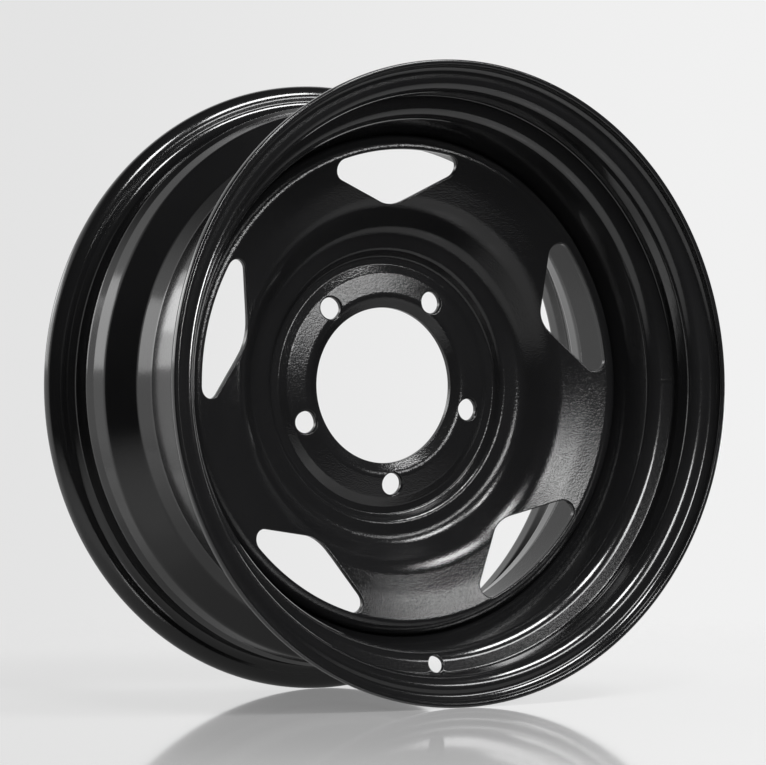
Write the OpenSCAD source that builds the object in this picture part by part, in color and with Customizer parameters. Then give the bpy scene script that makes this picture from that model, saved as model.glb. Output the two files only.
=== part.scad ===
// Steel wheel rim: a rolled drop-centre band with a pressed centre disc welded into its well.
// Sizes are in millimetres. The wheel turns about Y, its street side looks toward -Y and Z is up.
// Sections are drawn as [radius, height toward the street] and revolved, so each sheet is one path.

/* [Rim band] */
// Diameter of the bead seats where they meet the flanges
bead_d = 405.6; // [360:0.1:490]
// Width between the two flange faces
rim_w = 177.8; // [148:0.1:214]
// Thickness of the rim sheet
rim_t = 3.5; // [2.8:0.1:4.2]
// Height of a flange above the bead seat
flange_h = 17.3; // [15:0.1:20]
// Radius that the flange is rolled to, on the tyre side
flange_r = 9.5; // [8:0.1:11]
// How far the flange curls past its top, in degrees
lip_turn = 8; // [0:1:15]
// Straight length at the edge of the flange
lip_straight = 1.5; // [1:0.1:3]
// Radius in the corner of flange and bead seat
heel_r = 6.5; // [4:0.1:8]
// Taper of the bead seats, in degrees
bead_taper = 5; // [3:0.5:7]
// Rounding of the cut edges of both sheets
edge_r = 1.2; // [0.4:0.1:1.6]

/* [Humps and well] */
// Width of a bead seat, from the flange face to the foot of its hump
seat_w = 14.5; // [12:0.1:18]
// Distance of the inner hump's top from its flange face
hump_in = 21.6; // [19:0.1:25]
// Distance of the street hump's top from its flange face
hump_out = 24.9; // [20:0.1:28]
// Height of a hump's corner above the bead seat diameter
hump_h = 0.6; // [0:0.1:1.2]
// Length of the ledge between the inner hump and the well's wall
ledge_l = 13; // [8:0.5:20]
// Depth of the well below the bead seat diameter
well_depth = 24.3; // [20:0.1:28]
// Height of the easy slope at the inner foot of the well
inner_rise = 4; // [2:0.5:8]
// Length of the easy slope at the inner foot of the well
inner_run = 15; // [10:0.5:20]
// Height of the easy slope at the street foot of the well
street_rise = 9; // [6:0.5:12]
// Length of the easy slope at the street foot of the well
street_run = 36.5; // [28:0.5:40]
// Lean of the well's street wall from the wheel's plane, in degrees
street_lean = 15; // [8:1:25]
// Slope of the well's inner wall, in degrees
wall_slope = 45; // [35:1:55]

/* [Valve hole] */
// Diameter of the valve hole
valve_d = 12; // [8:0.1:14]
// Where the valve hole sits, as a share of the street wall's height from its foot
valve_share = 0.37; // [0.3:0.01:0.6]

/* [Hub] */
// Distance of the hub face from the middle of the rim, toward the car
hub_inset = 10.2; // [0:0.1:20]
// Thickness of the disc sheet
disc_t = 4.5; // [3.5:0.1:5.5]
// Diameter of the centre bore
bore_d = 110; // [90:0.1:120]
// Diameter of the circle through the lug holes
lug_circle_d = 139.7; // [130:0.1:150]
// Number of lug holes, and of windows
lug_n = 5; // [4:1:6]
// Diameter of a lug hole
lug_d = 15.4; // [13:0.1:18]
// Width of the nut seat cut round a lug hole
lug_seat = 1.1; // [0.5:0.1:2]
// Turn of the disc in the rim, from the valve hole, in degrees
disc_turn = 4; // [-36:0.1:36]
// How far the lug ring stands off the hub
lug_ring_h = 4.5; // [3:0.1:6]
// Slope of the lug ring toward the bore, in degrees
ring_lean = 26; // [20:0.5:32]
// Fall of the lug ring from its crest to the groove, in degrees
ring_fall = 8; // [4:0.5:9]
// Width of the lug ring outside the lug circle
lug_ring_out = 9.7; // [8.5:0.1:12]

/* [Groove and dish] */
// Width of the slope from the lug ring down to the groove
groove_slope = 6; // [4:0.1:9]
// Width of the flat groove that rests on the hub
groove_w = 6; // [4:0.1:9]
// Width of the groove's outer wall
groove_wall_w = 4.3; // [3:0.1:7]
// Height of the groove's outer wall
groove_wall_h = 6; // [4:0.1:9]
// Width of the shelf outside the groove
shelf_w = 14.5; // [12:0.1:17]
// Rise of the shelf outside the groove
shelf_h = 0.9; // [0:0.1:2]
// Where the dish eases, as a share of the way from the groove to the skirt
dish_share = 0.384; // [0.36:0.002:0.44]
// Rise of the steep part of the dish
dish_h = 18.8; // [16:0.1:22]
// Slope of the dish inside its brow, in degrees
dish_slope = 20; // [14:0.5:24]
// Where the dish bends a last time, as a share of the way from the groove to the skirt
brow_share = 0.66; // [0.6:0.01:0.75]
// Slope of the dish outside its brow, in degrees
brow_slope = 16.5; // [12:0.5:20]
// Radius of the rolled edge between dish and skirt
roll_r = 9; // [7:0.1:14]
// Distance of the skirt's edge from the inner end of the well's floor
skirt_edge = 9; // [6:0.5:14]
// Gap between the skirt and the well of the rim
skirt_gap = 0.1; // [0.05:0.05:0.3]

/* [Windows] */
// Distance of a window's outer edge from the outside of the skirt
window_edge = 10.6; // [9:0.1:16]
// Where a window starts, as a share of the way from the groove to the skirt
window_share = 0.395; // [0.34:0.005:0.5]
// Angle between a window's side and its middle line, in degrees
window_side = 66; // [55:0.5:72]
// Radius of a window's inner corner
window_apex_r = 24; // [10:0.5:32]
// Radius of a window's two outer corners
window_corner_r = 7.6; // [4:0.1:10]

/* [Welds] */
// Leg of a weld bead
weld_leg = 4; // [3:0.1:5]
// Stretch of each weld bead, in degrees
weld_span = 46; // [20:1:60]
// Gap kept between a weld bead and the sheets that it joins
weld_gap = 0.05; // [0.02:0.01:0.2]

/* [Hidden] */
$fn = 96;
arc_steps = 8;
bead_r = bead_d / 2;
face_s = rim_w / 2;
well_r = bead_r - well_depth;
well_in_r = well_r - rim_t;
hump_r = bead_r + hump_h;
// Street wall of the well
street_s = face_s - hump_out;
street_foot_r = well_r + street_rise;
street_foot_s = street_s - (hump_r - street_foot_r) * tan(street_lean);
// Inner wall of the well, down to the end of its floor
inner_s = hump_in - face_s;
ledge_r = bead_r - well_depth / 6;
ledge_s = inner_s + hump_in - seat_w + ledge_l;
inner_foot_r = well_r + inner_rise;
inner_foot_s = ledge_s + (ledge_r - inner_foot_r) / tan(wall_slope);
floor_in_s = inner_foot_s + inner_run;
// Bends of the rim on its tyre side
hump_top_bend = 5;
hump_foot_bend = 4;
wall_top_bend = 8;
wall_foot_bend = 8;
street_foot_bend = 8.5;
floor_bend = 10;
// Hub: heights are those of the disc's street face
groove_s = disc_t - hub_inset;
lug_ring_s = groove_s + lug_ring_h;
lug_circle_r = lug_circle_d / 2;
bore_r = bore_d / 2;
bore_s = disc_t / cos(ring_lean) - hub_inset;
ring_in_r = bore_r + (lug_ring_s - bore_s) / tan(ring_lean);
ring_out_r = lug_circle_r + lug_ring_out;
ring_out_s = lug_ring_s - (ring_out_r - ring_in_r) * tan(ring_fall);
groove_in_r = ring_out_r + groove_slope;
groove_out_r = groove_in_r + groove_w;
fold_r = groove_out_r + groove_wall_w;
fold_s = groove_s + groove_wall_h;
shelf_r = fold_r + shelf_w;
shelf_s = fold_s + shelf_h;
// Dish and skirt
skirt_r = well_in_r - skirt_gap;
skirt_s = floor_in_s + skirt_edge;
dish_r = fold_r + dish_share * (skirt_r - fold_r);
dish_s = shelf_s + dish_h;
brow_r = fold_r + brow_share * (skirt_r - fold_r);
brow_s = dish_s + (brow_r - dish_r) * tan(dish_slope);
roll_s = brow_s + (skirt_r - brow_r) * tan(brow_slope);
// Bends of the disc on its street face; the two tight ones follow the sheet
ring_in_bend = 10;
ring_out_bend = disc_t + 1.5;
groove_bend = 3;
fold_bend = disc_t + 0.7;
shelf_bend = 14;
dish_bend = 30;
brow_bend = 150;
// Windows
window_out_r = skirt_r - window_edge;
window_in_r = fold_r + window_share * (skirt_r - fold_r);
step_a = 360 / lug_n;

// assembly

// Vector along b - a with length one
function way(a, b) = (b - a) / norm(b - a);
// The [radius, height] of a corner, without its bend
function spot(c) = [c[0], c[1]];
// Direction turned a quarter to the right
function right_of(d) = [d[1], -d[0]];
// Angle in the range -180 to 180
function wrapped(a) = a > 180 ? a - 360 : a < -180 ? a + 360 : a;

// Arc that rounds the corner b of the path a, b, c
function bend_arc(a, b, c, r) =
  let (u = way(b, a), v = way(b, c))
  let (half = acos(u * v) / 2)
  let (m = b + (u + v) / norm(u + v) * r / sin(half))
  let (p = b + u * r / tan(half) - m, q = b + v * r / tan(half) - m)
  let (start = atan2(p[1], p[0]))
  let (sweep = wrapped(atan2(q[1], q[0]) - start))
  [for (i = [0 : arc_steps]) let (a = start + sweep * i / arc_steps) m + r * [cos(a), sin(a)]];

// Closed outline through corners [radius, height, bend], each rounded by its own bend
function rounded(c) =
  let (n = len(c))
  [for (i = [0 : n - 1]) each bend_arc(spot(c[(i + n - 1) % n]), spot(c[i]), spot(c[(i + 1) % n]), c[i][2])];

// Corner b of the path a, b, c moved by t to the right, with the bend that keeps the sheet parallel
function moved(a, b, c, t) =
  let (u = way(spot(a), spot(b)), v = way(spot(b), spot(c)))
  let (side = right_of(u) + right_of(v))
  let (s = side / norm(side))
  let (p = spot(b) + s * t / (s * right_of(u)))
  [p[0], p[1], b[2] + sign(cross(u, v)) * t];

// End a of the path moved by t to the right of the direction d
function moved_end(a, d, t) =
  let (p = spot(a) + right_of(d) * t)
  [p[0], p[1], a[2]];

// Corners of a sheet: the given side, then the side at t to the right of it, back to the start
function sheet(c, t) =
  let (n = len(c))
  concat(
    c,
    [moved_end(c[n - 1], way(spot(c[n - 2]), spot(c[n - 1])), t)],
    [for (i = [n - 2 : -1 : 1]) moved(c[i - 1], c[i], c[i + 1], t)],
    [moved_end(c[0], way(spot(c[0]), spot(c[1])), t)]
  );

// Tyre side of one half of the rim near its flange, from the lip to the hump's foot; s is +1 or -1
function flange_side(s) =
  let (mid_r = bead_r + flange_h - flange_r)
  let (tangent = flange_r * tan((90 + lip_turn) / 2))
  let (lip = tangent + lip_straight)
  [
    [mid_r + tangent - lip * sin(lip_turn), s * (face_s + lip * cos(lip_turn)), edge_r],
    [mid_r + tangent, s * face_s, flange_r],
    [bead_r, s * face_s, heel_r],
    [bead_r - seat_w * tan(bead_taper), s * (face_s - seat_w), hump_foot_bend]
  ];

// Tyre side of the well, from the street hump to the inner hump
function well_side() = [
  [hump_r, street_s, hump_top_bend],
  [street_foot_r, street_foot_s, street_foot_bend],
  [well_r, street_foot_s - street_run, floor_bend],
  [well_r, floor_in_s, floor_bend],
  [inner_foot_r, inner_foot_s, wall_foot_bend],
  [ledge_r, ledge_s, wall_top_bend],
  [bead_r - well_depth / 12, inner_s + hump_in - seat_w, hump_foot_bend],
  [hump_r, inner_s, hump_top_bend]
];

// Tyre side of the whole rim, street lip to inner lip
function rim_side() =
  let (inner = flange_side(-1))
  concat(flange_side(1), well_side(), [for (i = [len(inner) - 1 : -1 : 0]) inner[i]]);

// Street face of the disc, from inside the bore to the skirt's edge
function disc_side() = [
  [bore_r - disc_t, bore_s - disc_t * tan(ring_lean), edge_r],
  [ring_in_r, lug_ring_s, ring_in_bend],
  [ring_out_r, ring_out_s, ring_out_bend],
  [groove_in_r, groove_s, groove_bend],
  [groove_out_r, groove_s, groove_bend],
  [fold_r, fold_s, fold_bend],
  [shelf_r, shelf_s, shelf_bend],
  [dish_r, dish_s, dish_bend],
  [brow_r, brow_s, brow_bend],
  [skirt_r, roll_s, roll_r],
  [skirt_r, skirt_s, edge_r]
];

// Half of a window's outline, from its inner corner to its outer edge, in the wheel's plane
function window_half() =
  let (tip = window_in_r + window_apex_r - window_apex_r / sin(window_side))
  let (run = [cos(window_side), sin(window_side)])
  let (base = [tip, 0] + window_corner_r * right_of(run))
  let (reach = window_out_r - window_corner_r)
  let (along = -(base * run) + sqrt(pow(base * run, 2) - base * base + reach * reach))
  let (corner = base + along * run)
  let (apex = [tip + window_apex_r / sin(window_side), 0])
  let (top = atan2(corner[1], corner[0]))
  concat(
    [for (i = [0 : arc_steps]) let (a = 180 - (90 - window_side) * i / arc_steps)
      apex + window_apex_r * [cos(a), sin(a)]],
    [for (i = [0 : arc_steps]) let (a = window_side + 90 + (top - window_side - 90) * i / arc_steps)
      corner + window_corner_r * [cos(a), sin(a)]],
    [for (i = [1 : arc_steps]) let (a = top * (1 - i / arc_steps)) window_out_r * [cos(a), sin(a)]]
  );

// Whole outline of a window, its half and the mirror of it
function window_outline() =
  let (half = window_half())
  concat(half, [for (i = [len(half) - 2 : -1 : 1]) [half[i][0], -half[i][1]]]);

// Turns a solid built about Z into the wheel's frame, street side toward -Y
module in_wheel_frame() {
  rotate([90, 0, 0]) children();
}

module valve_hole() {
  wall_r = street_foot_r + valve_share * (hump_r - street_foot_r);
  wall_s = street_foot_s + valve_share * (street_s - street_foot_s);
  rotate([0, 0, -90])
    translate([wall_r, 0, wall_s])
      rotate([0, -street_lean, 0])
        cylinder(d = valve_d, h = 4 * rim_t, center = true);
}

module lug_hole() {
  pad_s = lug_ring_s - (lug_circle_r - ring_in_r) * tan(ring_fall);
  translate([lug_circle_r, 0, -hub_inset - disc_t])
    cylinder(d = lug_d, h = 4 * disc_t);
  translate([lug_circle_r, 0, pad_s])
    rotate([0, ring_fall, 0])
      translate([0, 0, -lug_seat])
        cylinder(d1 = lug_d, d2 = lug_d + 4 * lug_seat, h = 2 * lug_seat);
}

module rim() {
  color("#1b1b1d")
    in_wheel_frame()
      difference() {
        rotate_extrude() polygon(rounded(sheet(rim_side(), rim_t)));
        valve_hole();
      }
}

module disc() {
  color("#202022")
    in_wheel_frame()
      rotate([0, 0, disc_turn])
        difference() {
          rotate_extrude() polygon(rounded(sheet(disc_side(), disc_t)));
          cylinder(d = bore_d, h = rim_w, center = true);
          for (i = [0 : lug_n - 1]) {
            rotate([0, 0, 90 + (i + 0.5) * step_a]) lug_hole();
            rotate([0, 0, 90 + i * step_a])
              translate([0, 0, -rim_w])
                linear_extrude(2 * rim_w) polygon(window_outline());
          }
        }
}

module weld_bead() {
  outer = well_in_r - weld_gap;
  top = skirt_s - weld_gap;
  rotate_extrude(angle = weld_span)
    polygon([
      [outer, top],
      for (i = [0 : arc_steps]) let (a = 90 * i / arc_steps)
        [outer - weld_leg * cos(a), top - weld_leg * sin(a)]
    ]);
}

module welds() {
  color("#2a2a2c")
    in_wheel_frame()
      for (i = [0 : lug_n - 1])
        rotate([0, 0, disc_turn + 90 + (i + 0.5) * step_a - weld_span / 2]) weld_bead();
}

rim();
disc();
welds();
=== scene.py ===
# Studio scene of a black steel wheel rim: a rolled band, a pressed disc and the weld beads that join them.
# Sections are drawn in millimetres as (radius, height toward the street) and turned about the axis, Y.
from math import acos, atan2, ceil, copysign, cos, hypot, pi, radians, sin, sqrt, tan
import bpy
from mathutils import Matrix, Quaternion, Vector
from mathutils.geometry import delaunay_2d_cdt


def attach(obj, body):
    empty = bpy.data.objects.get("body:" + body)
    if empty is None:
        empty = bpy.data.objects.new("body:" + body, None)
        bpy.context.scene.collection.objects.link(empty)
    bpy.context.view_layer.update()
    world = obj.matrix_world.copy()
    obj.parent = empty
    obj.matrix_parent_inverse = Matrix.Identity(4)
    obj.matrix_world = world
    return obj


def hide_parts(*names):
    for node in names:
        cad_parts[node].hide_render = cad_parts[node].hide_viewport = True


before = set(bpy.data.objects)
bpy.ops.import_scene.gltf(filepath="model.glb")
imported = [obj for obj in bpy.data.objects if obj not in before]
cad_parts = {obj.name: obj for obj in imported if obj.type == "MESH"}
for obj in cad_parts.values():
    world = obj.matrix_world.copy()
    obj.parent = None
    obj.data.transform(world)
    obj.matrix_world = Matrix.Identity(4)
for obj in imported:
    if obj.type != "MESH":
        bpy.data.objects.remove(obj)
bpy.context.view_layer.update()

# Sizes of the rim band, the same as in the part's source
BEAD_R = 202.8
FACE_S = 88.9
RIM_T = 3.5
FLANGE_H = 17.3
FLANGE_R = 9.5
LIP_TURN = radians(8)
LIP_STRAIGHT = 1.5
HEEL_R = 6.5
BEAD_TAPER = radians(5)
EDGE_R = 1.2
SEAT_W = 14.5
HUMP_IN = 21.6
HUMP_OUT = 24.9
HUMP_H = 0.6
LEDGE_L = 13
WELL_DEPTH = 24.3
INNER_RISE, INNER_RUN = 4, 15
STREET_RISE, STREET_RUN = 9, 36.5
STREET_LEAN = radians(15)
WALL_SLOPE = radians(45)
WELL_R = BEAD_R - WELL_DEPTH
HUMP_TOP_BEND, HUMP_FOOT_BEND = 5, 4
WALL_TOP_BEND, WALL_FOOT_BEND, FLOOR_BEND = 8, 8, 10
STREET_FOOT_BEND = 8.5
VALVE_R = 6
VALVE_SHARE = 0.37
VALVE_ANGLE = radians(-90)

# Sizes of the disc
HUB_INSET = 10.2
DISC_T = 4.5
BORE_R = 55
LUG_CIRCLE_R = 69.85
LUG_N = 5
LUG_R = 7.7
LUG_SEAT = 1.1
DISC_TURN = radians(4)
LUG_RING_H = 4.5
RING_LEAN = radians(26)
RING_FALL = radians(8)
LUG_RING_OUT = 9.7
GROOVE_SLOPE, GROOVE_W = 6, 6
GROOVE_WALL_W, GROOVE_WALL_H = 4.3, 6
SHELF_W, SHELF_H = 14.5, 0.9
DISH_SHARE = 0.384
DISH_H = 18.8
DISH_SLOPE = radians(20)
BROW_SHARE = 0.66
BROW_SLOPE = radians(16.5)
ROLL_R = 9
SKIRT_EDGE = 9
SKIRT_R = WELL_R - RIM_T - 0.1
RING_IN_BEND, RING_OUT_BEND, GROOVE_BEND = 10, 6, 3
FOLD_BEND, SHELF_BEND, DISH_BEND, BROW_BEND = 5.2, 14, 30, 150

# Windows of the disc
WINDOW_EDGE = 10.6
WINDOW_SHARE = 0.395
WINDOW_SIDE = radians(66)
WINDOW_APEX_R = 24
WINDOW_CORNER_R = 7.6

# Weld beads behind the disc
WELD_LEG = 4
WELD_SPAN = radians(46)
WELD_GAP = 0.05

# How finely the sheets are divided
BEND_STEP = radians(8.5)
STRAIGHT_STEP = 5
TURN_STEPS = 300
HOLE_MARGIN = 1.1
FACE_MARGIN = 4
LUG_STEPS, LUG_COLUMNS = 48, 14
VALVE_STEPS, VALVE_COLUMNS = 36, 4
WELD_STEPS = 200
MM = 0.001


def spot(corner):
    return Vector((corner[0], corner[1]))


def right_of(d):
    return Vector((d.y, -d.x))


def cross(u, v):
    return u.x * v.y - u.y * v.x


def bend_points(a, b, c, bend):
    """Arc that rounds corner b of the path a, b, c, as (point, outward normal); the sheet is on the right."""
    u, v = (a - b).normalized(), (c - b).normalized()
    half = acos(max(-1, min(1, u.dot(v)))) / 2
    middle = b + (u + v).normalized() * (bend / sin(half))
    first, last = b + u * (bend / tan(half)), b + v * (bend / tan(half))
    start = atan2(first.y - middle.y, first.x - middle.x)
    sweep = (atan2(last.y - middle.y, last.x - middle.x) - start + pi) % (2 * pi) - pi
    steps = max(2, ceil(abs(sweep) / BEND_STEP))
    side = copysign(1, cross(u, v))
    arc = []
    for i in range(steps + 1):
        out = Vector((cos(start + sweep * i / steps), sin(start + sweep * i / steps)))
        arc.append((middle + out * bend, out * side))
    return arc


def moved(a, b, c, t):
    """Corner b of the path a, b, c moved by t to the right, with the bend that keeps the sheet parallel."""
    u, v = (spot(b) - spot(a)).normalized(), (spot(c) - spot(b)).normalized()
    side = (right_of(u) + right_of(v)).normalized()
    p = spot(b) + side * (t / side.dot(right_of(u)))
    return (p.x, p.y, b[2] + copysign(t, cross(u, v)))


def moved_end(a, b, end, t):
    p = spot(end) + right_of((spot(b) - spot(a)).normalized()) * t
    return (p.x, p.y, end[2])


def sheet(corners, t):
    """Corners of a sheet: the given side, then the side at t to the right of it, back to the start."""
    back = [moved(corners[i - 1], corners[i], corners[i + 1], t) for i in range(len(corners) - 2, 0, -1)]
    far = moved_end(corners[-2], corners[-1], corners[-1], t)
    near = moved_end(corners[0], corners[1], corners[0], t)
    return corners + [far] + back + [near]


def section(corners):
    """Points round a closed outline: (radius, height, normal radius, normal height, corner before)."""
    n = len(corners)
    arcs = [bend_points(spot(corners[i - 1]), spot(corners[i]), spot(corners[(i + 1) % n]), corners[i][2])
            for i in range(n)]
    points = []
    for i, arc in enumerate(arcs):
        points += [(p.x, p.y, q.x, q.y, i) for p, q in arc]
        start, end = arc[-1], arcs[(i + 1) % n][0]
        steps = ceil((end[0] - start[0]).length / STRAIGHT_STEP)
        for k in range(1, steps):
            p = start[0].lerp(end[0], k / steps)
            points.append((p.x, p.y, start[1].x, start[1].y, i + 0.5))
    return points


def flange_side(s):
    """Tyre side of the rim near one flange, from the lip to the hump's foot; s is +1 on the street side."""
    mid_r = BEAD_R + FLANGE_H - FLANGE_R
    tangent = FLANGE_R * tan((pi / 2 + LIP_TURN) / 2)
    lip = tangent + LIP_STRAIGHT
    return [
        (mid_r + tangent - lip * sin(LIP_TURN), s * (FACE_S + lip * cos(LIP_TURN)), EDGE_R),
        (mid_r + tangent, s * FACE_S, FLANGE_R),
        (BEAD_R, s * FACE_S, HEEL_R),
        (BEAD_R - SEAT_W * tan(BEAD_TAPER), s * (FACE_S - SEAT_W), HUMP_FOOT_BEND),
    ]


INNER_S = HUMP_IN - FACE_S
LEDGE_R, LEDGE_S = BEAD_R - WELL_DEPTH / 6, INNER_S + HUMP_IN - SEAT_W + LEDGE_L
INNER_FOOT_R = WELL_R + INNER_RISE
INNER_FOOT_S = LEDGE_S + (LEDGE_R - INNER_FOOT_R) / tan(WALL_SLOPE)
FLOOR_IN_S = INNER_FOOT_S + INNER_RUN
SKIRT_S = FLOOR_IN_S + SKIRT_EDGE


def well_side():
    """Tyre side of the well, from the street hump to the inner hump."""
    hump_r = BEAD_R + HUMP_H
    street_s = FACE_S - HUMP_OUT
    street_foot_r = WELL_R + STREET_RISE
    street_foot_s = street_s - (hump_r - street_foot_r) * tan(STREET_LEAN)
    return [
        (hump_r, street_s, HUMP_TOP_BEND),
        (street_foot_r, street_foot_s, STREET_FOOT_BEND),
        (WELL_R, street_foot_s - STREET_RUN, FLOOR_BEND),
        (WELL_R, FLOOR_IN_S, FLOOR_BEND),
        (INNER_FOOT_R, INNER_FOOT_S, WALL_FOOT_BEND),
        (LEDGE_R, LEDGE_S, WALL_TOP_BEND),
        (BEAD_R - WELL_DEPTH / 12, INNER_S + HUMP_IN - SEAT_W, HUMP_FOOT_BEND),
        (hump_r, INNER_S, HUMP_TOP_BEND),
    ]


GROOVE_S = DISC_T - HUB_INSET
LUG_RING_S = GROOVE_S + LUG_RING_H
BORE_S = DISC_T / cos(RING_LEAN) - HUB_INSET
RING_IN_R = BORE_R + (LUG_RING_S - BORE_S) / tan(RING_LEAN)
RING_OUT_R = LUG_CIRCLE_R + LUG_RING_OUT
RING_OUT_S = LUG_RING_S - (RING_OUT_R - RING_IN_R) * tan(RING_FALL)
GROOVE_IN_R = RING_OUT_R + GROOVE_SLOPE
GROOVE_OUT_R = GROOVE_IN_R + GROOVE_W
FOLD_R, FOLD_S = GROOVE_OUT_R + GROOVE_WALL_W, GROOVE_S + GROOVE_WALL_H
SHELF_R, SHELF_S = FOLD_R + SHELF_W, FOLD_S + SHELF_H
DISH_R, DISH_S = FOLD_R + DISH_SHARE * (SKIRT_R - FOLD_R), SHELF_S + DISH_H
BROW_R = FOLD_R + BROW_SHARE * (SKIRT_R - FOLD_R)
BROW_S = DISH_S + (BROW_R - DISH_R) * tan(DISH_SLOPE)
ROLL_S = BROW_S + (SKIRT_R - BROW_R) * tan(BROW_SLOPE)
WINDOW_OUT_R = SKIRT_R - WINDOW_EDGE
WINDOW_IN_R = FOLD_R + WINDOW_SHARE * (SKIRT_R - FOLD_R)
BORE_EDGE_R = 0.8


def disc_side():
    """Street face of the disc, from the bore to the skirt's edge."""
    return [
        (BORE_R, BORE_S, BORE_EDGE_R),
        (RING_IN_R, LUG_RING_S, RING_IN_BEND),
        (RING_OUT_R, RING_OUT_S, RING_OUT_BEND),
        (GROOVE_IN_R, GROOVE_S, GROOVE_BEND),
        (GROOVE_OUT_R, GROOVE_S, GROOVE_BEND),
        (FOLD_R, FOLD_S, FOLD_BEND),
        (SHELF_R, SHELF_S, SHELF_BEND),
        (DISH_R, DISH_S, DISH_BEND),
        (BROW_R, BROW_S, BROW_BEND),
        (SKIRT_R, ROLL_S, ROLL_R),
        (SKIRT_R, SKIRT_S, EDGE_R),
    ]


def disc_corners():
    """The whole disc section; its inner end is cut along the axis by the bore."""
    corners = sheet(disc_side(), DISC_T)
    corners[-1] = (BORE_R, -HUB_INSET, BORE_EDGE_R)
    return corners


def turned(r, s, angle):
    """A point of a section, turned to its place on the wheel."""
    return Vector((r * cos(angle), -s, r * sin(angle)))


class Skin:
    """A section turned about the axis, with holes cut in it; each vertex has its surface's true normal."""

    def __init__(self, points, angles):
        self.points, self.angles = points, angles
        self.spots = [turned(p[0], p[1], a) for p in points for a in angles]
        self.normals = [turned(p[2], p[3], a) for p in points for a in angles]
        self.cut = set()
        self.faces = []

    def at(self, row, column):
        return row % len(self.points) * len(self.angles) + column % len(self.angles)

    def new(self, place, normal):
        self.spots.append(place)
        self.normals.append(normal.normalized())
        return len(self.spots) - 1

    def on_face(self, rows, angle, x, y):
        """Place and normal on the turned face of these rows, at plan x along the angle and y across it."""
        r, a = hypot(x, y), angle + atan2(y, x)
        for row in rows[:-1]:
            p, q = self.points[row], self.points[row + 1]
            if min(p[0], q[0]) <= r <= max(p[0], q[0]) and p[0] != q[0]:
                t = (r - p[0]) / (q[0] - p[0])
                s, nr, ns = (p[k] + (q[k] - p[k]) * t for k in (1, 2, 3))
                return turned(r, s, a), turned(nr, ns, a).normalized()
        raise ValueError("a hole runs outside its rows")

    def edge_loops(self, rows, angle, outline, profile, depth_way):
        """Loops of vertices from a face into a hole; the profile lists (offset, depth, tilt), face first."""
        walls = []
        for inner, outer in zip(outline(0), outline(0.5)):
            way = self.on_face(rows, angle, *inner)[0] - self.on_face(rows, angle, *outer)[0]
            walls.append((way - depth_way * way.dot(depth_way)).normalized())
        loops = []
        for offset, depth, tilt in profile:
            loop = []
            for (x, y), wall in zip(outline(offset), walls):
                place, normal = self.on_face(rows, angle, x, y)
                loop.append(self.new(place + depth_way * depth, normal * cos(tilt) + wall * sin(tilt)))
            loops.append(loop)
        return loops

    def open_face(self, rows, columns, angle, outline, offset, loop):
        """Fills the face of these rows and columns round a hole, up to its first loop."""
        rim = outline(offset)
        keep_off = outline(offset + HOLE_MARGIN)
        flat, owner = [], []
        border = {}
        for i, row in enumerate(rows):
            for j, column in enumerate(columns):
                r, a = self.points[row][0], self.angles[column % len(self.angles)] - angle
                at_border = i in (0, len(rows) - 1) or j in (0, len(columns) - 1)
                if at_border or not inside((r * cos(a), r * sin(a)), keep_off):
                    if at_border:
                        border[(i, j)] = len(flat)
                    flat.append(Vector((r * cos(a), r * sin(a))))
                    owner.append(self.at(row, column))
                if i + 1 < len(rows) and j + 1 < len(columns):
                    self.cut.add(self.at(row, column))
        walk = [(0, j) for j in range(len(columns))] + [(i, len(columns) - 1) for i in range(1, len(rows))]
        walk += [(len(rows) - 1, j) for j in range(len(columns) - 2, -1, -1)]
        walk += [(i, 0) for i in range(len(rows) - 2, 0, -1)]
        edges = [(border[walk[k - 1]], border[walk[k]]) for k in range(len(walk))]
        first = len(flat)
        flat += [Vector(p) for p in rim]
        owner += loop
        edges += [(first + (k - 1) % len(rim), first + k) for k in range(len(rim))]
        sides = [{border[k] for k in walk if k[axis] == end}
                 for axis, last in ((0, len(rows) - 1), (1, len(columns) - 1)) for end in (0, last)]
        spots, _, triangles, origins, _, _ = delaunay_2d_cdt(flat, edges, [], 0, 1e-6, True)
        for triangle in triangles:
            corners = [origins[k][0] for k in triangle]
            middle = sum((spots[k] for k in triangle), Vector((0, 0))) / 3
            if not any(side.issuperset(corners) for side in sides) and not inside(middle, rim):
                self.faces.append([owner[k] for k in corners])

    def wall(self, loops):
        """Bands of faces between neighbouring loops."""
        for a, b in zip(loops, loops[1:]):
            for k in range(len(a)):
                self.faces.append([a[k - 1], a[k], b[k], b[k - 1]])

    def hole(self, sides, columns, angle, profiles, depth_ways):
        """Cuts one hole: sides lists the rows and the outline of each face, first the one that is seen."""
        edges = []
        for (rows, outline), profile, way in zip(sides, profiles, depth_ways):
            loops = self.edge_loops(rows, angle, outline, profile, way)
            self.open_face(rows, columns, angle, outline, profile[0][0], loops[0])
            edges.append(loops)
        self.wall(edges[0] + edges[1][::-1])

    def turn_faces(self):
        """The faces of the turned section that no hole took away."""
        for row in range(len(self.points)):
            for column in range(len(self.angles)):
                if self.at(row, column) not in self.cut:
                    self.faces.append([self.at(row, column), self.at(row + 1, column),
                                       self.at(row + 1, column + 1), self.at(row, column + 1)])

    def outward(self, face):
        a, b, c = (self.spots[k] for k in (face[0], face[1], face[2]))
        look = sum((self.normals[k] for k in face), Vector((0, 0, 0)))
        return face if (b - a).cross(c - a).dot(look) > 0 else face[::-1]

    def piece(self, name):
        """The finished mesh object, in metres."""
        self.turn_faces()
        used = sorted({k for face in self.faces for k in face})
        order = {k: i for i, k in enumerate(used)}
        mesh = bpy.data.meshes.new(name)
        mesh.from_pydata([self.spots[k] * MM for k in used], [],
                         [[order[k] for k in self.outward(face)] for face in self.faces])
        mesh.shade_smooth()
        mesh.normals_split_custom_set_from_vertices([self.normals[k] for k in used])
        piece = bpy.data.objects.new(name, mesh)
        bpy.context.scene.collection.objects.link(piece)
        return piece


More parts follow.
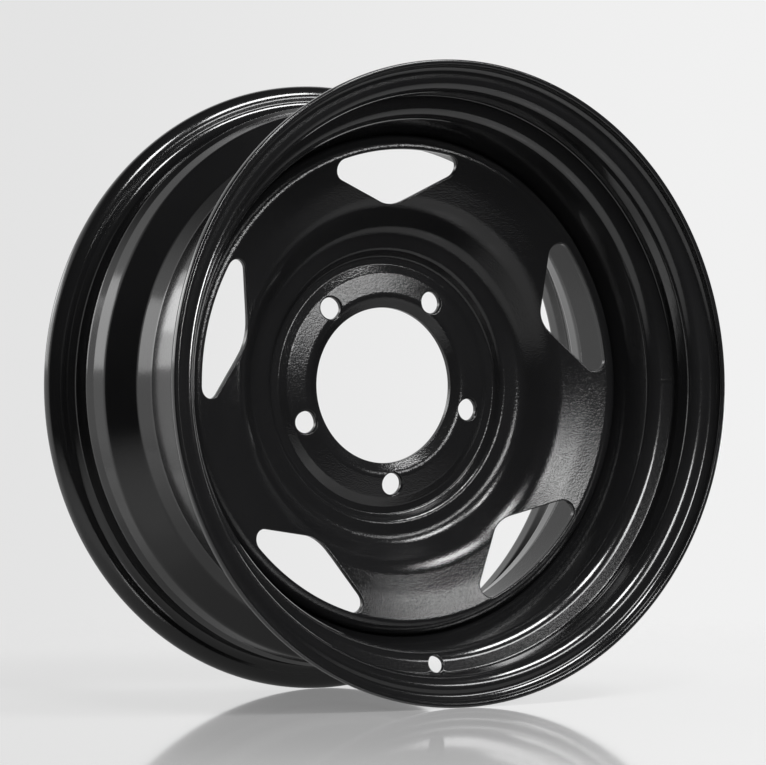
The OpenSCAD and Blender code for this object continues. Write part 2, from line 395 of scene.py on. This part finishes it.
def inside(point, loop):
    """True where a plan point lies inside a closed loop."""
    x, y = point[0], point[1]
    hit = False
    for k in range(len(loop)):
        (ax, ay), (bx, by) = loop[k - 1], loop[k]
        if (ay > y) != (by > y) and x < ax + (bx - ax) * (y - ay) / (by - ay):
            hit = not hit
    return hit


def rows_between(points, first_corner, last_corner, low, high):
    """Rows of one side of a section whose radius lies between low and high."""
    return [i for i, p in enumerate(points) if first_corner <= p[4] <= last_corner and low <= p[0] <= high]


def wall_rows(points, first_corner, last_corner, low):
    """Rows of the well's street wall, from a radius on its lower slope up to the top of the hump."""
    rows = [i for i, p in enumerate(points) if first_corner <= p[4] <= last_corner and p[0] >= low]
    top = rows.index(max(rows, key=lambda i: points[i][0]))
    return rows[top:] if top < len(rows) / 2 else rows[:top + 1]


def arc(middle, radius, start, end, steps):
    return [(middle[0] + radius * cos(start + (end - start) * i / steps),
             middle[1] + radius * sin(start + (end - start) * i / steps)) for i in range(steps + 1)]


def between(a, b, steps):
    """Points along a straight side, without its ends."""
    return [(a[0] + (b[0] - a[0]) * i / steps, a[1] + (b[1] - a[1]) * i / steps) for i in range(1, steps)]


def window_outline(offset):
    """Closed outline of a window about its middle line, moved outward by offset."""
    apex_r, corner_r = WINDOW_APEX_R + offset, WINDOW_CORNER_R + offset
    tip = WINDOW_IN_R + WINDOW_APEX_R - WINDOW_APEX_R / sin(WINDOW_SIDE) - offset / sin(WINDOW_SIDE)
    run = Vector((cos(WINDOW_SIDE), sin(WINDOW_SIDE)))
    base = Vector((tip, 0)) + right_of(run) * corner_r
    reach = WINDOW_OUT_R - WINDOW_CORNER_R
    corner = base + run * (-base.dot(run) + sqrt(base.dot(run) ** 2 - base.dot(base) + reach ** 2))
    top = atan2(corner.y, corner.x)
    apex = arc((tip + apex_r / sin(WINDOW_SIDE), 0), apex_r, pi, pi / 2 + WINDOW_SIDE, 8)
    round_corner = arc(corner, corner_r, WINDOW_SIDE + pi / 2, top, 12)
    outer = arc((0, 0), WINDOW_OUT_R + offset, top, 0, 16)
    half = apex + between(apex[-1], round_corner[0], 12) + round_corner + outer[1:]
    return half + [(x, -y) for x, y in half[-2:0:-1]]


def lug_outline(offset):
    return arc((LUG_CIRCLE_R, 0), LUG_R + offset, 0, 2 * pi, LUG_STEPS)[:-1]


def rounded_edge(radius, steps):
    """Profile of a plain hole edge rounded by paint: (offset, depth, tilt) from the face to the wall."""
    tilts = [pi / 2 * k / steps for k in range(steps + 1)]
    return [(radius * (1 - sin(tilt)), radius * (1 - cos(tilt)), tilt) for tilt in tilts]


def nut_seat():
    """Profile of a lug hole's conical seat, its two edges softened by paint."""
    soft = 0.3
    tilt = pi / 4
    return [(LUG_SEAT + soft, 0, 0), (LUG_SEAT, soft * 0.35, tilt * 0.6), (LUG_SEAT - soft, soft, tilt),
            (soft * 0.6, LUG_SEAT - soft * 0.4, tilt), (soft * 0.1, LUG_SEAT + soft * 0.3, tilt * 1.6),
            (0, LUG_SEAT + soft, pi / 2)]


STREET_WAY = Vector((0, -1, 0))
CAR_WAY = Vector((0, 1, 0))


def make_disc():
    points = section(disc_corners())
    front, back = (0, len(disc_side()) - 1.5), (len(disc_side()), 2 * len(disc_side()) - 0.5)
    step = 2 * pi / TURN_STEPS
    angles = [DISC_TURN + k * step for k in range(TURN_STEPS)]
    skin = Skin(points, angles)
    part = TURN_STEPS // LUG_N
    low, high = WINDOW_IN_R - FACE_MARGIN, WINDOW_OUT_R + FACE_MARGIN
    window_sides = [(rows_between(points, *side, low, high), window_outline) for side in (front, back)]
    low, high = LUG_CIRCLE_R - LUG_R - FACE_MARGIN, LUG_CIRCLE_R + LUG_R + FACE_MARGIN
    lug_sides = [(rows_between(points, *side, low, high), lug_outline) for side in (front, back)]
    for i in range(LUG_N):
        middle = TURN_STEPS // 4 + i * part
        columns = range(middle - part // 2, middle + part // 2 + 1)
        skin.hole(window_sides, columns, DISC_TURN + middle * step,
                  (rounded_edge(1.0, 5), rounded_edge(0.8, 4)), (CAR_WAY, STREET_WAY))
        middle += part // 2
        columns = range(middle - LUG_COLUMNS, middle + LUG_COLUMNS + 1)
        skin.hole(lug_sides, columns, DISC_TURN + middle * step,
                  (nut_seat(), rounded_edge(0.5, 3)), (CAR_WAY, STREET_WAY))
    return skin.piece("disc_sheet")


def make_rim():
    corners = flange_side(1) + well_side() + flange_side(-1)[::-1]
    count = len(corners)
    points = section(sheet(corners, RIM_T))
    step = 2 * pi / TURN_STEPS
    angles = [k * step for k in range(TURN_STEPS)]
    skin = Skin(points, angles)
    top, foot = spot(corners[4]), spot(corners[5])
    middle = foot.lerp(top, VALVE_SHARE)
    wall_way = (foot - top).normalized()
    normal = -right_of(wall_way)

    def valve_outline(centre):
        def outline(offset):
            r = VALVE_R + offset
            loop = []
            for k in range(VALVE_STEPS):
                turn = 2 * pi * k / VALVE_STEPS
                along, across = r * cos(turn), r * sin(turn)
                radius = centre.x + along * wall_way.x
                loop.append((radius * cos(across / radius), radius * sin(across / radius)))
            return loop
        return outline

    low = foot.x - 6
    tyre_rows = wall_rows(points, 4, 5.5, low)
    air_rows = wall_rows(points, 2 * count - 6.5, 2 * count - 5, low)
    sides = [(air_rows, valve_outline(middle - normal * RIM_T)), (tyre_rows, valve_outline(middle))]
    into = turned(normal.x, normal.y, VALVE_ANGLE)
    column = TURN_STEPS * 3 // 4
    skin.hole(sides, range(column - VALVE_COLUMNS, column + VALVE_COLUMNS + 1), VALVE_ANGLE,
              (rounded_edge(0.5, 4), rounded_edge(0.5, 4)), (into, -into))
    return skin.piece("rim_band")


def weld_section(leg, steps=7):
    outer, top = WELL_R - RIM_T - WELD_GAP, SKIRT_S - WELD_GAP
    return [(outer, top)] + [(outer - leg * cos(pi / 2 * i / steps), top - leg * sin(pi / 2 * i / steps))
                             for i in range(steps + 1)]


RIPPLE_PITCH = radians(0.9)
RIPPLE_H = 0.35
WELD_TAPER = radians(1.4)
WELD_END_SHARE = 0.45


def weld_leg(turn):
    """Leg of a bead at an angle from its start: rippled along its run and drawn in at its ends."""
    end = min(turn, WELD_SPAN - turn) / WELD_TAPER
    close = sqrt(max(0, 1 - (1 - min(1, end)) ** 2))
    wave = abs(sin(pi * turn / RIPPLE_PITCH))
    return (WELD_LEG - RIPPLE_H * (1 - wave)) * (WELD_END_SHARE + (1 - WELD_END_SHARE) * close)


def make_welds():
    spots, faces = [], []
    for i in range(LUG_N):
        start = DISC_TURN + pi / 2 + (i + 0.5) * 2 * pi / LUG_N - WELD_SPAN / 2
        for k in range(WELD_STEPS + 1):
            turn = WELD_SPAN * k / WELD_STEPS
            ring = weld_section(weld_leg(turn))
            first = len(spots)
            spots += [turned(r, s, start + turn) * MM for r, s in ring]
            size = len(ring)
            if k:
                faces += [(first - size + j, first - size + (j + 1) % size, first + (j + 1) % size, first + j)
                          for j in range(size)]
            if k in (0, WELD_STEPS):
                cap = list(range(first, first + size))
                faces.append(cap[::-1] if k == 0 else cap)
    mesh = bpy.data.meshes.new("weld_beads")
    mesh.from_pydata(spots, [], faces)
    mesh.shade_smooth()
    piece = bpy.data.objects.new("weld_beads", mesh)
    bpy.context.scene.collection.objects.link(piece)
    return piece


def node(tree, kind, **inputs):
    """A shader node with values or links set by socket name."""
    made = tree.nodes.new(kind)
    for name, value in inputs.items():
        socket = made.inputs[name.replace("_", " ")]
        if isinstance(value, bpy.types.NodeSocket):
            tree.links.new(value, socket)
        else:
            socket.default_value = value
    return made


def ramp(tree, value, start, end, low=0.0, high=1.0):
    """Soft step of a value: low at start, high at end."""
    made = node(tree, "ShaderNodeMapRange", Value=value)
    made.interpolation_type = "SMOOTHSTEP"
    for socket, number in (("From Min", start), ("From Max", end), ("To Min", low), ("To Max", high)):
        made.inputs[socket].default_value = number
    return made.outputs["Result"]


def reckon(tree, operation, a, b):
    """A math node; a and b are sockets or numbers."""
    made = tree.nodes.new("ShaderNodeMath")
    made.operation = operation
    for socket, value in zip(made.inputs, (a, b)):
        if isinstance(value, bpy.types.NodeSocket):
            tree.links.new(value, socket)
        else:
            socket.default_value = value
    return made.outputs[0]


def ramp_between(tree, share, first, second):
    """Mix of two value sockets."""
    made = tree.nodes.new("ShaderNodeMix")
    for socket, value in zip((made.inputs[0], made.inputs[2], made.inputs[3]), (share, first, second)):
        tree.links.new(value, socket)
    return made.outputs[0]


def grain_group():
    """Powder coat grain: fine pimples over a slow orange peel, with the roughness and colour of each."""
    group = bpy.data.node_groups.new("powder grain", "ShaderNodeTree")
    for name, value in (("Grain", 900.0), ("Peel", 260.0), ("Grain Share", 0.6)):
        group.interface.new_socket(name, in_out="INPUT", socket_type="NodeSocketFloat").default_value = value
    for name in ("Height", "Rough", "Tone"):
        group.interface.new_socket(name, in_out="OUTPUT", socket_type="NodeSocketFloat")
    source, sink = group.nodes.new("NodeGroupInput"), group.nodes.new("NodeGroupOutput")
    place = group.nodes.new("ShaderNodeTexCoord").outputs["Object"]
    grain_size, peel_size = source.outputs["Grain"], source.outputs["Peel"]
    grain = node(group, "ShaderNodeTexNoise", Vector=place, Scale=grain_size, Detail=1.0, Roughness=0.5)
    peel = node(group, "ShaderNodeTexNoise", Vector=place, Scale=peel_size, Detail=1.0, Roughness=0.4)
    height = group.nodes.new("ShaderNodeMix")
    group.links.new(source.outputs["Grain Share"], height.inputs[0])
    group.links.new(peel.outputs["Fac"], height.inputs[2])
    group.links.new(grain.outputs["Fac"], height.inputs[3])
    cloud = node(group, "ShaderNodeTexNoise", Vector=place, Scale=14.0, Detail=3.0, Roughness=0.55)
    group.links.new(height.outputs[0], sink.inputs["Height"])
    group.links.new(grain.outputs["Fac"], sink.inputs["Rough"])
    group.links.new(cloud.outputs["Fac"], sink.inputs["Tone"])
    return group


SEAM_ANGLE, SEAM_HALF, SEAM_H = 0.02, 0.009, 4.5


def seam_group():
    """Height of the butt weld that closes the rolled band: a low uneven ridge across its whole width."""
    group = bpy.data.node_groups.new("butt weld", "ShaderNodeTree")
    group.interface.new_socket("Height", in_out="OUTPUT", socket_type="NodeSocketFloat")
    place = group.nodes.new("ShaderNodeTexCoord").outputs["Object"]
    spread = node(group, "ShaderNodeSeparateXYZ", Vector=place)
    turn = reckon(group, "ARCTAN2", spread.outputs["Z"], spread.outputs["X"])
    off = reckon(group, "ABSOLUTE", reckon(group, "SUBTRACT", turn, SEAM_ANGLE), 0.0)
    lumps = node(group, "ShaderNodeTexNoise", Vector=place, Scale=180.0, Detail=2.0, Roughness=0.5)
    ridge = reckon(group, "MULTIPLY", ramp(group, off, SEAM_HALF, 0.0), lumps.outputs["Fac"])
    sink = group.nodes.new("NodeGroupOutput")
    group.links.new(reckon(group, "MULTIPLY", ridge, SEAM_H), sink.inputs["Height"])
    return group


NOISE_LOW, NOISE_HIGH = 0.25, 0.75


def span(tree, value, low, high):
    """The usual range of a noise brought into the range low to high."""
    made = node(tree, "ShaderNodeMapRange", Value=value)
    made.inputs["From Min"].default_value, made.inputs["From Max"].default_value = NOISE_LOW, NOISE_HIGH
    made.inputs["To Min"].default_value, made.inputs["To Max"].default_value = low, high
    return made.outputs["Result"]


BUMP_DEPTH = 0.0004
# Darkest and lightest black of the paint
BLACK = ((0.008, 0.008, 0.0084, 1), (0.014, 0.014, 0.0146, 1))


def powder_coat(name, group, grain, peel, share, strength, rough, gloss=1.5, seam=None):
    """Gloss black paint; grain and peel are noise scales, strength the bump's, rough a roughness range."""
    material = bpy.data.materials.new(name)
    material.use_nodes = True
    tree = material.node_tree
    shader = tree.nodes["Principled BSDF"]
    coat = tree.nodes.new("ShaderNodeGroup")
    coat.node_tree = group
    for socket, value in (("Grain", grain), ("Peel", peel), ("Grain Share", share)):
        coat.inputs[socket].default_value = value
    colour = tree.nodes.new("ShaderNodeMix")
    colour.data_type = "RGBA"
    colour.inputs[6].default_value, colour.inputs[7].default_value = BLACK
    tree.links.new(coat.outputs["Tone"], colour.inputs[0])
    tree.links.new(colour.outputs[2], shader.inputs["Base Color"])
    tree.links.new(span(tree, coat.outputs["Rough"], *rough), shader.inputs["Roughness"])
    height = coat.outputs["Height"]
    if seam:
        weld = tree.nodes.new("ShaderNodeGroup")
        weld.node_tree = seam
        height = reckon(tree, "ADD", height, weld.outputs["Height"])
    bump = node(tree, "ShaderNodeBump", Height=height, Strength=strength, Distance=BUMP_DEPTH)
    tree.links.new(bump.outputs["Normal"], shader.inputs["Normal"])
    shader.inputs["IOR"].default_value = gloss
    return material


def dress(piece, cad_node, material):
    piece.data.materials.append(material)
    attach(piece, "root")
    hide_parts(cad_node)


FLOOR_Z = -0.2202
FLOOR_FRONT, FLOOR_REACH = -0.56, 2.4
FLOOR_TONE, FLOOR_GLOW = 0.36, 0.2
FLOOR_ROUGH, FLOOR_IOR = 0.06, 1.3
FADE_START, FADE_END = 0.35, 1.1


def make_floor():
    """Pale floor under the wheel; its front edge is straight, and far off it fades into the background."""
    mesh = bpy.data.meshes.new("floor")
    low, high = FLOOR_FRONT, FLOOR_REACH
    mesh.from_pydata([(-FLOOR_REACH, low, FLOOR_Z), (FLOOR_REACH, low, FLOOR_Z), (FLOOR_REACH, high, FLOOR_Z),
                      (-FLOOR_REACH, high, FLOOR_Z)], [], [(0, 1, 2, 3)])
    floor = bpy.data.objects.new("floor", mesh)
    bpy.context.scene.collection.objects.link(floor)
    material = bpy.data.materials.new("pale floor")
    material.use_nodes = True
    tree = material.node_tree
    shader = tree.nodes["Principled BSDF"]
    shader.inputs["Base Color"].default_value = (*[FLOOR_TONE] * 3, 1)
    shader.inputs["Roughness"].default_value = FLOOR_ROUGH
    shader.inputs["IOR"].default_value = FLOOR_IOR
    shader.inputs["Emission Color"].default_value = (1, 1, 1, 1)
    path = tree.nodes.new("ShaderNodeLightPath").outputs
    shiny = reckon(tree, "MAXIMUM", path["Is Glossy Ray"], path["Is Transmission Ray"])
    seen = reckon(tree, "MAXIMUM", path["Is Camera Ray"], shiny)
    tree.links.new(reckon(tree, "MULTIPLY", seen, FLOOR_GLOW), shader.inputs["Emission Strength"])
    place = tree.nodes.new("ShaderNodeTexCoord").outputs["Object"]
    far = tree.nodes.new("ShaderNodeVectorMath")
    far.operation = "LENGTH"
    tree.links.new(place, far.inputs[0])
    mix = tree.nodes.new("ShaderNodeMixShader")
    tree.links.new(ramp(tree, far.outputs["Value"], FADE_START, FADE_END), mix.inputs[0])
    tree.links.new(shader.outputs[0], mix.inputs[1])
    tree.links.new(tree.nodes.new("ShaderNodeBsdfTransparent").outputs[0], mix.inputs[2])
    tree.links.new(mix.outputs[0], tree.nodes["Material Output"].inputs["Surface"])
    mesh.materials.append(material)


ROOM_DARK = 0.012
ROOM_FILL = 0.3
BACKDROP_LEFT, BACKDROP_RIGHT = 0.77, 0.88
SHADE_LEFT, SHADE_RIGHT = 0.38, 0.62
BEHIND_FROM, BEHIND_FULL = 0.0, 0.4
ABOVE_FROM, ABOVE_FULL = 0.85, 0.45


def make_world():
    """Pale backdrop for the camera; shiny paint sees it behind the wheel, and a dark room in front."""
    world = bpy.data.worlds.new("studio")
    bpy.context.scene.world = world
    world.use_nodes = True
    tree = world.node_tree
    way = tree.nodes.new("ShaderNodeTexCoord").outputs["Generated"]
    look = node(tree, "ShaderNodeSeparateXYZ", Vector=way)
    x, y, z = (look.outputs[name] for name in "XYZ")
    path = tree.nodes.new("ShaderNodeLightPath").outputs
    shiny = reckon(tree, "MAXIMUM", path["Is Glossy Ray"], path["Is Transmission Ray"])
    not_above = ramp(tree, z, ABOVE_FROM, ABOVE_FULL)
    behind = reckon(tree, "MULTIPLY", ramp(tree, y, BEHIND_FROM, BEHIND_FULL), not_above)
    seen = reckon(tree, "MAXIMUM", path["Is Camera Ray"], reckon(tree, "MULTIPLY", shiny, behind))
    backdrop = ramp(tree, x, SHADE_LEFT, SHADE_RIGHT, BACKDROP_LEFT, BACKDROP_RIGHT)
    room = reckon(tree, "ADD", ROOM_DARK, reckon(tree, "MULTIPLY", path["Is Diffuse Ray"], ROOM_FILL))
    tree.links.new(ramp_between(tree, seen, room, backdrop), tree.nodes["Background"].inputs["Strength"])
    tree.nodes["Background"].inputs["Color"].default_value = (1, 1, 1, 1)


LAMP_REACH = 1.6


def lamp(name, place, along, size, strength):
    """A soft lamp that faces the wheel, its long side along a direction; strength is how bright it looks."""
    light = bpy.data.lights.new(name, "AREA")
    light.shape = "RECTANGLE"
    light.size, light.size_y = size
    light.energy = strength * pi * size[0] * size[1]
    back = (place - along * place.dot(along)).normalized()
    holder = bpy.data.objects.new(name, light)
    holder.matrix_world = Matrix((along, back.cross(along), back)).transposed().to_4x4()
    holder.location = place
    holder.visible_camera = False
    bpy.context.scene.collection.objects.link(holder)


def softbox(name, side, lift, roll, size, strength):
    """A lamp by its direction from the wheel: degrees right of straight ahead, degrees up, and its tilt."""
    side, lift = radians(side), radians(lift)
    out = Vector((sin(side) * cos(lift), -cos(side) * cos(lift), sin(lift)))
    level = Vector((0, 0, 1)).cross(out).normalized()
    lamp(name, out * LAMP_REACH, Quaternion(out, radians(roll)) @ level, size, strength)


CAMERA_SPOT = (-1.1551, -1.9463, -0.0337)
CAMERA_YAW, CAMERA_TILT = radians(30.596), radians(0.901)
CAMERA_LENS = 150.7


def make_camera():
    camera = bpy.data.cameras.new("camera")
    camera.lens = CAMERA_LENS
    holder = bpy.data.objects.new("camera", camera)
    holder.location = CAMERA_SPOT
    holder.rotation_euler = (pi / 2 + CAMERA_TILT, 0, -CAMERA_YAW)
    bpy.context.scene.collection.objects.link(holder)
    bpy.context.scene.camera = holder


bpy.context.scene.view_settings.view_transform = "Standard"
make_camera()
make_floor()
make_world()
# Lamps: degrees to the side, degrees up, tilt, width and height in metres, brightness
softbox("low softbox", 3, 13, 0, (0.24, 0.3), 13)
softbox("front strip", 22, 18.5, 21, (0.85, 0.18), 10)
softbox("right overhead", 24.5, 50, 0, (0.56, 0.32), 21)
softbox("left overhead", -15, 49, 0, (0.3, 0.34), 22)
softbox("back softbox", -138, 15, 0, (1.2, 0.6), 1.8)
softbox("back spot", -150, 17, 0, (0.5, 0.26), 1.6)
softbox("side softbox", 80, -4, 0, (0.3, 0.2), 18)
coat = grain_group()
disc_paint = powder_coat("disc powder coat", coat, grain=1000, peel=300, share=0.92, strength=0.28,
                         rough=(0.11, 0.17))
band_paint = powder_coat("band powder coat", coat, grain=800, peel=220, share=0.35, strength=0.06,
                         rough=(0.10, 0.16), gloss=1.7, seam=seam_group())
weld_paint = powder_coat("weld powder coat", coat, grain=900, peel=300, share=0.6, strength=0.5,
                         rough=(0.22, 0.36))
dress(make_disc(), "disc", disc_paint)
dress(make_rim(), "rim", band_paint)
dress(make_welds(), "welds", weld_paint)
